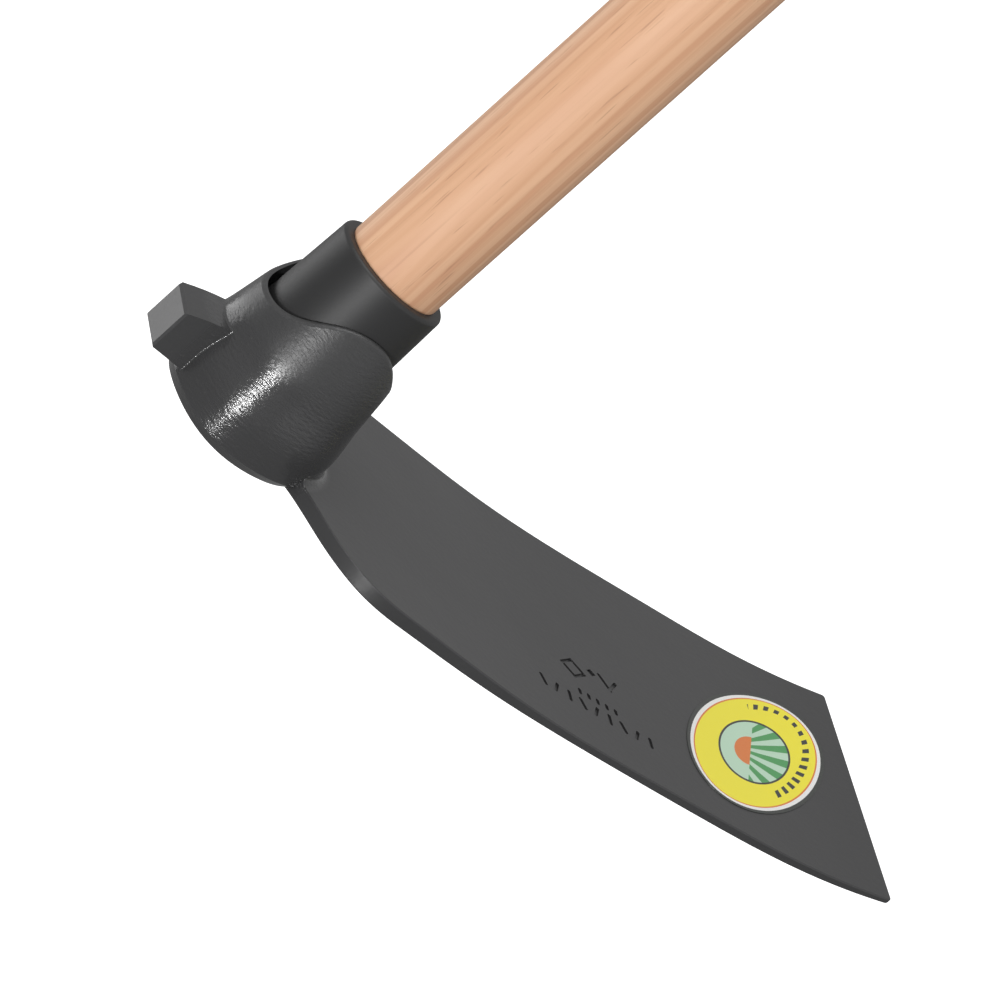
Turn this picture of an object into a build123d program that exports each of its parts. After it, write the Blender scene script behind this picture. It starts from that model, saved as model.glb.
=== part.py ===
from build123d import *
import os

# Grub hoe: a forged head, a plastic bush, a turned wooden handle with its wedge, and a blade label.
# Millimetres. +Z runs up the handle, +X out to the cutting edge. The hoe is symmetric about XZ.
# The origin is on the handle's axis, level with the root of the blade.

HANDLE_R = 19.0
HANDLE_FITTED_R = 18.8
HANDLE_SHOULDER = 59.6
HANDLE_FOOT = -17.5
HANDLE_LENGTH = 1300.0
HANDLE_FOOT_CHAMFER = 1.0
HANDLE_END_ROUND = 14.0

BUSH_FOOT = -15.5
BUSH_TOP = 59.0
BUSH_TOP_R = 22.8
BUSH_COLLAR_R = 23.75
BUSH_FOOT_R = 26.9
BUSH_RIM_ROUND = 1.5

EYE_FOOT = -20.5
EYE_BEND = -5.0
EYE_WAIST = 26.0
EYE_TOP = 46.0
EYE_TOP_R = 24.5
EYE_FOOT_R = 33.4
EYE_OFFSET = 0.8
EYE_RIM_ROUND = 1.4
EYE_FOOT_CHAMFER = 3.6
SADDLE_X = 40.0
SADDLE_Z = 20.0
POLL_RELIEF_R = 22.5
POLL_RELIEF_FOOT = (-1.7, 0, 7)
POLL_RELIEF_TILT = 6.5

TIP_X = 280.2
TIP_ROUND = 1.6
TIP_HALF_WIDTH = 62.4
SHOULDER = (66.0, 65.3)
BLADE_ROOT = (10.0, 14.0)
BLADE_FACE = [(10, -11), (45, -8.9), (80, -8.1), (125, -6.6), (200, 2.9), (240, 9.4), (TIP_X, 20)]
BLADE_BACK = [(10, -17), (60, -13.8), (107, -11.8), (154, -6.8), (200, -0.5), (240, 6.2), (TIP_X, 17.8)]
BLADE_EDGE_ROUND = 0.5
ROOT_FILLET = 3.0

LUG_END_X = -45.0
LUG_ROOT_X = -26.0
LUG_HALF_WIDTH = 10.4
LUG_FOOT = -11.4
LUG_TOP = 5.0
LUG_CROWN = (-36.0, 8.3)
LUG_ROOT_TOP = 10.8
LUG_EDGE = 0.8
LUG_FILLET = 0.8

STAMP_DEPTH = 0.8
STAMP_STROKE = 1.5

WEDGE_HEIGHT = 34.0
WEDGE_FOOT_THICK = 4.2
WEDGE_TIP_THICK = 1.2
WEDGE_WIDTH = 31.0
KERF_HEIGHT = 62.0

LABEL_CENTRE = (235.6, -2.7)
LABEL_LONG_R = 50.7
LABEL_SHORT_R = 25.2
LABEL_TURN = 57.6
LABEL_THICK = 0.25

REACH = 80.0
STANDING = (Align.CENTER, Align.CENTER, Align.MIN)


def path(*points):
    """Straight edges from point to point."""
    return [Line(start, end) for start, end in zip(points, points[1:])]


def upright(edges):
    """A closed outline drawn in x and height, stood up in the XZ plane."""
    return make_face([Plane.XZ * edge for edge in edges])


def side_prism(edges):
    """An upright outline run out to both sides of the head."""
    return extrude(Pos(0, -REACH, 0) * upright(edges), 2 * REACH, dir=(0, 1, 0))


def turned(edges):
    """An upright outline, from the axis outwards, turned about the handle's axis."""
    return revolve(upright(edges), Axis.Z)


def raised(points, height):
    """An outline's points moved up by a height."""
    return [(x, z + height) for x, z in points]


def edges_within(solid, low_x, high_x, low_z, high_z):
    """The edges whose boxes lie between these limits along the blade and up the handle."""
    def inside(edge):
        box = edge.bounding_box()
        return low_x < box.min.X and box.max.X < high_x and low_z < box.min.Z and box.max.Z < high_z
    return solid.edges().filter_by(inside)


def eye_blank():
    """The ring before it is bored: a waisted cone, its rim trimmed to a saddle and its foot to an arch."""
    bend = (EYE_FOOT_R, EYE_BEND)
    cone = Pos(EYE_OFFSET, 0, 0) * turned([
        *path((EYE_TOP_R, EYE_TOP), (0, EYE_TOP), (0, EYE_FOOT), (EYE_FOOT_R, EYE_FOOT), bend),
        Spline(bend, (31.2, 9.5), (28.8, 26), (EYE_TOP_R, EYE_TOP), tangents=[(0, 1), (-0.2, 1)]),
    ])
    rim_ends = [(-SADDLE_X, 27), (SADDLE_X, SADDLE_Z)]
    rim = Spline(rim_ends[0], (-22, 28.8), (-9, 40), (4, 43.5), (14, 40.4), (22, 34), rim_ends[1])
    foot_ends = [(-SADDLE_X, -14), (SADDLE_X, -16)]
    foot = Spline(foot_ends[0], (-27, -18), (-18, -19.2), (-6, -19.1), (6, -17.9), (18, -16.8), foot_ends[1])
    sides = path(rim_ends[0], foot_ends[0]) + path(rim_ends[1], foot_ends[1])
    blank = cone & side_prism([rim, foot, *sides])
    blank = fillet(edges_within(blank, -SADDLE_X, SADDLE_X, SADDLE_Z, EYE_TOP), EYE_RIM_ROUND)
    return chamfer(edges_within(blank, -SADDLE_X, SADDLE_X, EYE_FOOT, EYE_BEND), EYE_FOOT_CHAMFER)


def blade_plate():
    """The forged plate: thick at its root, thin at the cutting edge, dished upward to the tip."""
    side = side_prism([
        Spline(*BLADE_FACE),
        Spline(*BLADE_BACK),
        *path(BLADE_FACE[0], BLADE_BACK[0]),
        *path(BLADE_FACE[-1], BLADE_BACK[-1]),
    ])
    root_x, root_y = BLADE_ROOT
    flank = Line(SHOULDER, (TIP_X, TIP_HALF_WIDTH))
    shoulder = Spline(BLADE_ROOT, (24, 29), (34, 47), (47, 61), SHOULDER, tangents=[(1, 0.6), flank % 0])
    plan = make_face([
        shoulder,
        flank,
        mirror(shoulder, Plane.XZ),
        mirror(flank, Plane.XZ),
        Line((root_x, root_y), (root_x, -root_y)),
        Line((TIP_X, TIP_HALF_WIDTH), (TIP_X, -TIP_HALF_WIDTH)),
    ])
    plan = fillet(plan.vertices().group_by(Axis.X)[-1], TIP_ROUND)
    plate = side & extrude(plan, REACH, both=True)
    back = plate.faces().sort_by(SortBy.AREA)[-2:].sort_by(Axis.Z)[0]
    return fillet(back.edges().filter_by(lambda edge: edge.center().X > root_x + 1), BLADE_EDGE_ROUND)


def poll_lug():
    """The square striking lug on the back of the eye, its top face slightly crowned."""
    end_top, root_top = (LUG_END_X, LUG_TOP), (LUG_ROOT_X, LUG_ROOT_TOP)
    side = upright([
        ThreePointArc(end_top, LUG_CROWN, root_top),
        *path(root_top, (LUG_ROOT_X, LUG_FOOT), (LUG_END_X, LUG_FOOT), end_top),
    ])
    lug = extrude(side, LUG_HALF_WIDTH, both=True)
    return chamfer(lug.edges().group_by(Axis.X)[0], LUG_EDGE)


def eye_bore():
    """The driving taper through the ring, and the relief that leaves the rim thin at the poll."""
    below, above = EYE_FOOT - 1, EYE_TOP + 1
    taper = (BUSH_FOOT_R - BUSH_COLLAR_R) / (EYE_WAIST - BUSH_FOOT)
    foot_r = BUSH_COLLAR_R + taper * (EYE_WAIST - below)
    cone = turned(path((0, above), (0, below), (foot_r, below), (BUSH_COLLAR_R, EYE_WAIST),
                       (BUSH_COLLAR_R, above), (0, above)))
    relief = Cylinder(POLL_RELIEF_R, REACH, align=STANDING)
    return cone + Pos(*POLL_RELIEF_FOOT) * Rot(0, -POLL_RELIEF_TILT, 0) * relief


def forge_stamps():
    """Shallow generic marks: a long and a short row of strokes, and a diamond, a dot and a chevron."""
    marks = [Pos(x, -38) * Rot(0, 0, 90 + lean) * SlotOverall(6.5, STAMP_STROKE)
             for x, lean in zip(range(134, 187, 6), [18, -18, 0] * 3)]
    marks += [Pos(x, -30.5) * Rot(0, 0, 90) * SlotOverall(3.5, STAMP_STROKE) for x in range(152, 171, 4)]
    side = 8.6
    diamond = Rectangle(side, side) - Rectangle(side - 2 * STAMP_STROKE, side - 2 * STAMP_STROKE)
    dot = Rectangle(2 * STAMP_STROKE, 2 * STAMP_STROKE)
    marks += [Pos(151.5, -17) * Rot(0, 0, 45) * diamond, Pos(160.5, -12.5) * Rot(0, 0, 45) * dot]
    marks += [Pos(168, -17) * Rot(0, 0, turn) * Pos(0, 3.5) * Rot(0, 0, 90) * SlotOverall(9.5, STAMP_STROKE)
              for turn in (30, -30)]
    floor = raised(BLADE_FACE, -STAMP_DEPTH)
    above = side_prism([Spline(*floor), *path(floor[0], (floor[0][0], REACH), (TIP_X, REACH), floor[-1])])
    return above & extrude(Sketch() + marks, REACH, both=True)


def hoe_head():
    """The one-piece forging: ring, plate and lug run together, then bored and stamped."""
    head = eye_blank() + blade_plate()
    root = edges_within(head, BLADE_ROOT[0], EYE_FOOT_R + 1.2, -12.6, -8)
    head = fillet(root.filter_by(lambda edge: edge.length > 20), ROOT_FILLET)
    face = head.faces().filter_by(lambda side: side.normal_at(side.center()).Z > 0.5).sort_by(SortBy.AREA)[-1]
    rim = face.edges().filter_by(lambda edge: edge.center().X > EYE_FOOT_R + ROOT_FILLET)
    head = fillet(rim, BLADE_EDGE_ROUND) + poll_lug()
    lug_root = edges_within(head, -EYE_FOOT_R, -EYE_FOOT_R + 6, LUG_FOOT - 1, LUG_ROOT_TOP)
    return fillet(lug_root, LUG_FILLET) - eye_bore() - forge_stamps()


def eye_bush():
    """The black plastic sleeve: a plain collar above the eye and the driving taper inside it."""
    mouth = (BUSH_TOP_R - BUSH_RIM_ROUND, BUSH_TOP)
    return turned([
        *path((HANDLE_FITTED_R, BUSH_FOOT), (HANDLE_FITTED_R, BUSH_TOP), mouth),
        JernArc(mouth, (1, 0), BUSH_RIM_ROUND, -90),
        *path((BUSH_TOP_R, BUSH_TOP - BUSH_RIM_ROUND), (BUSH_COLLAR_R, EYE_WAIST),
              (BUSH_FOOT_R, BUSH_FOOT), (HANDLE_FITTED_R, BUSH_FOOT)),
    ])


def handle_wedge():
    """A hardwood wedge driven into the handle's foot, thick end down, flush with the end grain."""
    half_foot, half_tip = WEDGE_FOOT_THICK / 2, WEDGE_TIP_THICK / 2
    top = HANDLE_FOOT + WEDGE_HEIGHT
    foot_left, foot_right = (-half_foot, HANDLE_FOOT), (half_foot, HANDLE_FOOT)
    section = upright(path(foot_left, foot_right, (half_tip, top), (-half_tip, top), foot_left))
    return extrude(section, WEDGE_WIDTH / 2, both=True)


def handle():
    """The turned shaft: a slimmer foot fitted to the bush and slit for its wedge, a domed top end."""
    fitted = HANDLE_SHOULDER - HANDLE_FOOT
    foot = Cylinder(HANDLE_FITTED_R, fitted, align=STANDING)
    foot = chamfer(foot.edges().group_by(Axis.Z)[0], HANDLE_FOOT_CHAMFER)
    grip = Pos(0, 0, fitted) * Cylinder(HANDLE_R, HANDLE_LENGTH - fitted, align=STANDING)
    grip = fillet(grip.edges().group_by(Axis.Z)[-1], HANDLE_END_ROUND)
    slit = Box(WEDGE_TIP_THICK, 2 * HANDLE_R, KERF_HEIGHT, align=STANDING)
    return Pos(0, 0, HANDLE_FOOT) * (foot + grip - slit) - handle_wedge()


def blade_label():
    """A thin oval sticker laid on the blade's dished face, turned a little from square."""
    under, over = Spline(*BLADE_FACE), Spline(*raised(BLADE_FACE, LABEL_THICK))
    sheet = side_prism([
        under,
        over,
        Line(under @ 0, over @ 0),
        Line(under @ 1, over @ 1),
    ])
    oval = Pos(*LABEL_CENTRE) * Rot(0, 0, LABEL_TURN) * Ellipse(LABEL_LONG_R, LABEL_SHORT_R)
    return sheet & extrude(oval, REACH, both=True)


os.makedirs("parts", exist_ok=True)
for make_piece in (hoe_head, eye_bush, handle, handle_wedge, blade_label):
    export_step(make_piece(), f"parts/{make_piece.__name__}.step")
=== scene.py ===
import math

import bmesh
import bpy
from mathutils import Matrix, Vector


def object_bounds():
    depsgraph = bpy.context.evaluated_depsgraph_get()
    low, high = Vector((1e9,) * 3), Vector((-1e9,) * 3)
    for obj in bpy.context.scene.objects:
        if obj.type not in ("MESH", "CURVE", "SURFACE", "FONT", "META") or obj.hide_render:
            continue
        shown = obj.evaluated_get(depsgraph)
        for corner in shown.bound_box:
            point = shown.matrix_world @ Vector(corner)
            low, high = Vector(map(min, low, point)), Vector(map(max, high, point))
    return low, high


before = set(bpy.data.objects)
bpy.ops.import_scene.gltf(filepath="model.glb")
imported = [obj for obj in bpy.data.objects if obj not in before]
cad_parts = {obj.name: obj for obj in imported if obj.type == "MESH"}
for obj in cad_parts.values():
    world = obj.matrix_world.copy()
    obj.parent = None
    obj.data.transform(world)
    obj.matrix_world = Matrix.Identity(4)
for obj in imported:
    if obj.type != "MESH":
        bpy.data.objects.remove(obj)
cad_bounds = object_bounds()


# Camera: a long lens looking down on the head from the poll side,
# rolled so that the handle leans to the right and the blade falls away below it.
mm = 0.001
camera_aim = Vector((73.9, -31.5, 31.5)) * mm
camera_azimuth = 240.07
camera_elevation = 16.885
camera_roll = 48.874
camera_distance = 1.855

camera_data = bpy.data.cameras.new("camera")
camera_data.lens = 200.454
camera_data.sensor_width = 36.0
camera = bpy.data.objects.new("camera", camera_data)
bpy.context.scene.collection.objects.link(camera)
bpy.context.scene.camera = camera
camera.matrix_world = (
    Matrix.Translation(camera_aim)
    @ Matrix.Rotation(math.radians(camera_azimuth + 90), 4, "Z")
    @ Matrix.Rotation(math.radians(90 - camera_elevation), 4, "X")
    @ Matrix.Rotation(math.radians(camera_roll), 4, "Z")
    @ Matrix.Translation((0, 0, camera_distance))
)


# Studio: a pale tent, brighter above than below, over a pale floor. A strobe puts the streak on the
# eye, a small light finds the blade's near side, and panels light the lug, the top and the handle.
class Wire:
    """One socket of a node tree. Python's operators on it add Math nodes."""

    def __init__(self, tree, socket):
        self.tree = tree
        self.socket = socket

    def node(self, kind, settings, inputs, output=0):
        """Any node: its type, its settings, then the values or wires of its sockets."""
        made = self.tree.nodes.new("ShaderNode" + kind)
        for name, value in settings.items():
            setattr(made, name, value)
        for name, value in inputs.items():
            if isinstance(value, Wire):
                self.tree.links.new(value.socket, made.inputs[name])
            else:
                made.inputs[name].default_value = value
        return Wire(self.tree, made.outputs[output])

    def maths(self, operation, *terms):
        return self.node("Math", {"operation": operation}, dict(enumerate(terms)))

    def __add__(self, other):
        return self.maths("ADD", self, other)

    def __sub__(self, other):
        return self.maths("SUBTRACT", self, other)

    def __rsub__(self, other):
        return self.maths("SUBTRACT", other, self)

    def __mul__(self, other):
        return self.maths("MULTIPLY", self, other)

    def __pow__(self, other):
        return self.maths("POWER", self, other)

    def __lt__(self, other):
        return self.maths("LESS_THAN", self, other)

    def __gt__(self, other):
        return self.maths("GREATER_THAN", self, other)

    __radd__ = __add__
    __rmul__ = __mul__

    def sine(self):
        return self.maths("SINE", self)

    def bearing(self, ahead):
        """The angle whose tangent is this wire over another."""
        return self.maths("ARCTAN2", self, ahead)

    def ramp(self, low, high):
        """0 below one value and 1 above another, with a soft step between them."""
        limits = {"From Min": low, "From Max": high}
        return self.node("MapRange", {"interpolation_type": "SMOOTHSTEP"}, {"Value": self, **limits})

    def parts(self):
        """The x, y and z of a place."""
        split = self.node("SeparateXYZ", {}, {0: self})
        return [Wire(self.tree, socket) for socket in split.socket.node.outputs]

    def stretched(self, *factors):
        """A place scaled by a factor along each axis."""
        return self.node("VectorMath", {"operation": "MULTIPLY"}, {0: self, 1: factors})

    def noise(self, scale, detail=2.0, roughness=0.5):
        """Soft noise between 0 and 1 at a place."""
        values = {"Vector": self, "Scale": scale, "Detail": detail, "Roughness": roughness}
        return self.node("TexNoise", {}, values)

    def rings(self, scale):
        """Soft noise between 0 and 1 along one distance."""
        values = {"W": self * scale, "Scale": 1.0, "Detail": 2.0}
        return self.node("TexNoise", {"noise_dimensions": "1D"}, values)

    def blend(self, under, over):
        """One colour over another, with this wire as the mask."""
        return self.node("Mix", {"data_type": "RGBA"}, {0: self, 6: under, 7: over}, output=2)

    def bump(self, distance):
        """A normal raised by this height, in metres."""
        return self.node("Bump", {}, {"Height": self, "Distance": distance})


def coordinates(tree, space):
    """A wire that says where each point lies."""
    return Wire(tree, tree.nodes.new("ShaderNodeTexCoord").outputs[space])


def feed(shader, **inputs):
    """Feeds a shader's sockets, named with underscores, from wires or plain values."""
    for name, value in inputs.items():
        socket = shader.inputs[name.replace("_", " ")]
        if isinstance(value, Wire):
            value.tree.links.new(value.socket, socket)
        else:
            socket.default_value = value


sky_strength = 0.51
ground_strength = 0.28
ground_height, sky_height = -0.25, 0.15

world = bpy.data.worlds.new("studio")
world.use_nodes = True
bpy.context.scene.world = world
bpy.context.scene.view_settings.view_transform = "Standard"
height = coordinates(world.node_tree, "Generated").parts()[2]
tent = height.ramp(ground_height, sky_height) * (sky_strength - ground_strength) + ground_strength
feed(world.node_tree.nodes["Background"], Color=(1, 1, 1, 1), Strength=tent)


def softbox(name, azimuth, elevation, distance, size, power):
    """An area light facing the eye of the head from a compass bearing and a height in degrees."""
    data = bpy.data.lights.new(name, "AREA")
    data.shape = "RECTANGLE"
    data.size, data.size_y = size
    data.energy = power
    light = bpy.data.objects.new(name, data)
    bpy.context.scene.collection.objects.link(light)
    raised = Matrix.Rotation(math.radians(-elevation), 3, "Y") @ Vector((1, 0, 0))
    away = Matrix.Rotation(math.radians(azimuth), 3, "Z") @ raised
    facing = away.to_track_quat("Z", "Y").to_matrix().to_4x4()
    light.matrix_world = Matrix.Translation(away * distance) @ facing


softbox("strobe", 237, -3, 1.7, (0.30, 0.06), 16)
softbox("edge_light", 235, -19, 1.4, (0.12, 0.12), 0.8)
softbox("poll_panel", 126, -14, 1.2, (0.8, 0.55), 3)
softbox("top_panel", 200, 68, 1.3, (0.9, 0.9), 8)
softbox("side_panel", 305, 25, 1.8, (1.6, 1.6), 3)

floor_drop = 0.45
floor_reach = 30.0

floor_shape = bmesh.new()
bmesh.ops.create_grid(floor_shape, x_segments=1, y_segments=1, size=floor_reach)
bmesh.ops.translate(floor_shape, verts=floor_shape.verts, vec=(0, 0, cad_bounds[0][2] - floor_drop))
floor_mesh = bpy.data.meshes.new("floor")
floor_shape.to_mesh(floor_mesh)
floor_shape.free()
floor = bpy.data.objects.new("floor", floor_mesh)
bpy.context.scene.collection.objects.link(floor)
floor.visible_diffuse = False
floor.visible_glossy = False
floor_paint = bpy.data.materials.new("floor_paint")
floor_paint.use_nodes = True
feed(
    floor_paint.node_tree.nodes["Principled BSDF"],
    Base_Color=(0.9, 0.9, 0.9, 1),
    Emission_Color=(1, 1, 1, 1),
    Emission_Strength=0.9,
)
floor_mesh.materials.append(floor_paint)


# hoe_head: the one-piece drop forging of medium carbon steel - ring eye, poll lug and blade plate.
# It is dipped in black lacquer, which follows the fine scale and grinding of the forging under it.
# The eye is driven up the bush from below, and nothing else holds it.
def finish(name):
    """A new material, the place on its piece, and its shader."""
    material = bpy.data.materials.new(name)
    material.use_nodes = True
    tree = material.node_tree
    return material, coordinates(tree, "Object"), tree.nodes["Principled BSDF"]


def coat(node, material):
    """Gives a CAD piece its finish."""
    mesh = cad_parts[node].data
    mesh.materials.clear()
    mesh.materials.append(material)


eye_outside = 35 * mm
neck_outside = 1.12 * eye_outside
polished_to = 11 * mm
dull_from = 22 * mm
lacquer_dark = (0.033, 0.033, 0.034, 1)
lacquer_light = (0.043, 0.043, 0.044, 1)
lacquer_scuffed = (0.070, 0.070, 0.070, 1)
lacquer_speck = (0.090, 0.090, 0.088, 1)
lacquer_relief = 0.14 * mm

lacquer, place, shader = finish("black_lacquer")
x, y, z = place.parts()
off_eye = (x * x + y * y).ramp(eye_outside ** 2, neck_outside ** 2)
on_eye = 1 - off_eye
polished = on_eye * (1 - z.ramp(polished_to, dull_from))
scale_marks = place.stretched(330, 330, 1000).noise(1.0, 3.0, 0.6)
orange_peel = place.noise(420)
hammering = place.noise(38, 1.0)
specks = place.noise(900, 1.0).ramp(0.72, 0.80)
scuffs = place.stretched(60, 260, 260).noise(1.0, 4.0, 0.65).ramp(0.62, 0.80)
shade = place.noise(14, 3.0)
tone = shade.blend(lacquer_dark, lacquer_light)
tone = (scuffs * 0.35).blend(tone, lacquer_scuffed)
tone = (specks * 0.2).blend(tone, lacquer_speck)
relief = scale_marks * on_eye * 1.35 + orange_peel * (off_eye * 0.25 + 0.1) + hammering * 1.2
feed(
    shader,
    Base_Color=tone,
    Roughness=0.36 + shade * 0.08 + scuffs * 0.06 - polished * 0.24,
    Normal=relief.bump(lacquer_relief),
)
coat("hoe_head", lacquer)


# eye_bush: a tapered sleeve injection-moulded in black polypropylene, with a plain collar.
# It is pressed over the handle's foot and wedges itself in the eye; only the collar shows.
plastic_dark = (0.015, 0.015, 0.0155, 1)
plastic_light = (0.021, 0.021, 0.0215, 1)
plastic_relief = 0.06 * mm

plastic, place, shader = finish("moulded_black")
grain = place.noise(1900)
flow = place.stretched(40, 40, 9).noise(1.0, 3.0)
feed(
    shader,
    Base_Color=flow.blend(plastic_dark, plastic_light),
    Roughness=0.44 + grain * 0.08 + flow * 0.05,
    Normal=(grain * 0.3 + flow * 0.5).bump(plastic_relief),
)
coat("eye_bush", plastic)


# handle: a straight shaft turned from pale close-grained hardwood, sanded along the grain
# and dipped in a thin satin varnish. Its slimmer foot is pressed into the bush.
ring_wander = 12 * mm
ring_noise = 420
wood_relief = 0.05 * mm


def wood(name, pale, warm, dark, pith, dullness):
    """Straight-grained wood whose growth rings centre on a pith at an x and a y."""
    material, place, shader = finish(name)
    x, y, _ = place.parts()
    across, deep = x - pith[0], y - pith[1]
    wander = place.stretched(9, 9, 2.2).noise(1.0) * ring_wander
    growth = ((across * across + deep * deep) ** 0.5 + wander).rings(ring_noise)
    fibre = place.stretched(900, 900, 14).noise(1.0, 3.0, 0.6)
    streak = place.stretched(260, 260, 5).noise(1.0)
    pores = place.stretched(1300, 1300, 60).noise(1.0, 1.0).ramp(0.66, 0.76)
    cloud = place.stretched(30, 30, 5).noise(1.0)
    colour = growth.ramp(0.38, 0.66).blend(pale, warm)
    colour = (streak.ramp(0.50, 0.72) * 0.40).blend(colour, warm)
    colour = (cloud.ramp(0.45, 0.75) * 0.22).blend(colour, dark)
    colour = (fibre.ramp(0.50, 0.80) * 0.24).blend(colour, dark)
    colour = (pores * 0.45).blend(colour, dark)
    feed(
        shader,
        Base_Color=colour,
        Roughness=dullness + fibre * 0.14 + pores * 0.1,
        Normal=(fibre * 0.4 - pores * 0.6).bump(wood_relief),
    )
    return material


handle_pale = (0.72, 0.44, 0.27, 1)
handle_warm = (0.62, 0.335, 0.195, 1)
handle_dark = (0.38, 0.185, 0.105, 1)
handle_pith = (50 * mm, 70 * mm)
handle_dullness = 0.46
varnished = wood("varnished_hardwood", handle_pale, handle_warm, handle_dark, handle_pith, handle_dullness)
coat("handle", varnished)


# handle_wedge: a sawn slip of the same hardwood, driven up into the slit in the handle's foot
# to spread it inside the bush, and cut off level with the end grain.
wedge_pale = (0.52, 0.33, 0.19, 1)
wedge_warm = (0.42, 0.24, 0.13, 1)
wedge_dark = (0.22, 0.115, 0.06, 1)
wedge_pith = (20 * mm, 40 * mm)
wedge_dullness = 0.60
sawn = wood("sawn_hardwood", wedge_pale, wedge_warm, wedge_dark, wedge_pith, wedge_dullness)
coat("handle_wedge", sawn)


# blade_label: an oval vinyl sticker stuck on the finished blade, printed in bands of colour.
# Its picture is plain: a sun behind a ploughed field, with a scale of short bars beside it.
label_centre = (235.6 * mm, -2.7 * mm)
label_radii = (50.7 * mm, 25.2 * mm)
label_turn = math.radians(57.6)
dark_band = 1.5 * mm
white_band = 3.0 * mm
orange_band = 3.6 * mm
bars_from, bars_to = 6.4 * mm, 9.4 * mm
bars_past = 4 * mm
vinyl_relief = 0.05 * mm

# The picture's sizes are shares of the sticker's radii, and its counts are for a full turn.
picture_radius = 0.50
picture_line = 0.53
sky_line = 0.05
sun_radius = 0.24
furrows_meet = 0.40
furrow_count = 22
bar_count = 34

print_white = (0.88, 0.88, 0.86, 1)
print_orange = (0.74, 0.20, 0.03, 1)
print_yellow = (0.93, 0.83, 0.02, 1)
print_green = (0.06, 0.33, 0.09, 1)
print_pale = (0.52, 0.74, 0.56, 1)
print_dark = (0.018, 0.022, 0.018, 1)
print_worn = (0.9, 0.9, 0.85, 1)

sticker, place, shader = finish("printed_vinyl")
x, y, _ = place.parts()
out, side = x - label_centre[0], y - label_centre[1]
long = out * math.cos(label_turn) + side * math.sin(label_turn)
short = side * math.cos(label_turn) - out * math.sin(label_turn)


def within(inset):
    """1 inside the sticker's outline drawn in by this much, and 0 outside it."""
    long_share = long * (1 / (label_radii[0] - inset))
    short_share = short * (1 / (label_radii[1] - inset))
    return long_share * long_share + short_share * short_share < 1.0


long_share, short_share = long * (1 / label_radii[0]), short * (1 / label_radii[1])
up = short_share * math.sin(label_turn) - long_share * math.cos(label_turn)
left = long_share * math.sin(label_turn) + short_share * math.cos(label_turn)
from_middle = (up * up + left * left) ** 0.5
above_sky_line = up - sky_line
picture = from_middle < picture_radius
sun = above_sky_line * above_sky_line + left * left < sun_radius ** 2
ground = up < sky_line
furrows = (left.bearing(furrows_meet - up) * furrow_count).sine() > 0.0
evened_short = short * (label_radii[0] / label_radii[1])
bars = (evened_short.bearing(long) * bar_count).sine() > 0.1
scale_band = within(bars_from) * (1 - within(bars_to)) * bars * (out > bars_past)
colour = within(dark_band).blend(print_dark, print_white)
colour = within(white_band).blend(colour, print_orange)
colour = within(orange_band).blend(colour, print_yellow)
colour = scale_band.blend(colour, print_dark)
colour = (from_middle < picture_line).blend(colour, print_dark)
colour = picture.blend(colour, print_pale)
colour = (picture * sun).blend(colour, print_orange)
colour = (picture * ground).blend(colour, print_green)
colour = (picture * ground * furrows).blend(colour, print_pale)
ink = place.noise(2600)
wave = place.noise(60)
feed(
    shader,
    Base_Color=(ink.ramp(0.35, 0.75) * 0.04).blend(colour, print_worn),
    Roughness=0.30 + ink * 0.08,
    Normal=(wave + ink * 0.08).bump(vinyl_relief),
)
coat("blade_label", sticker)
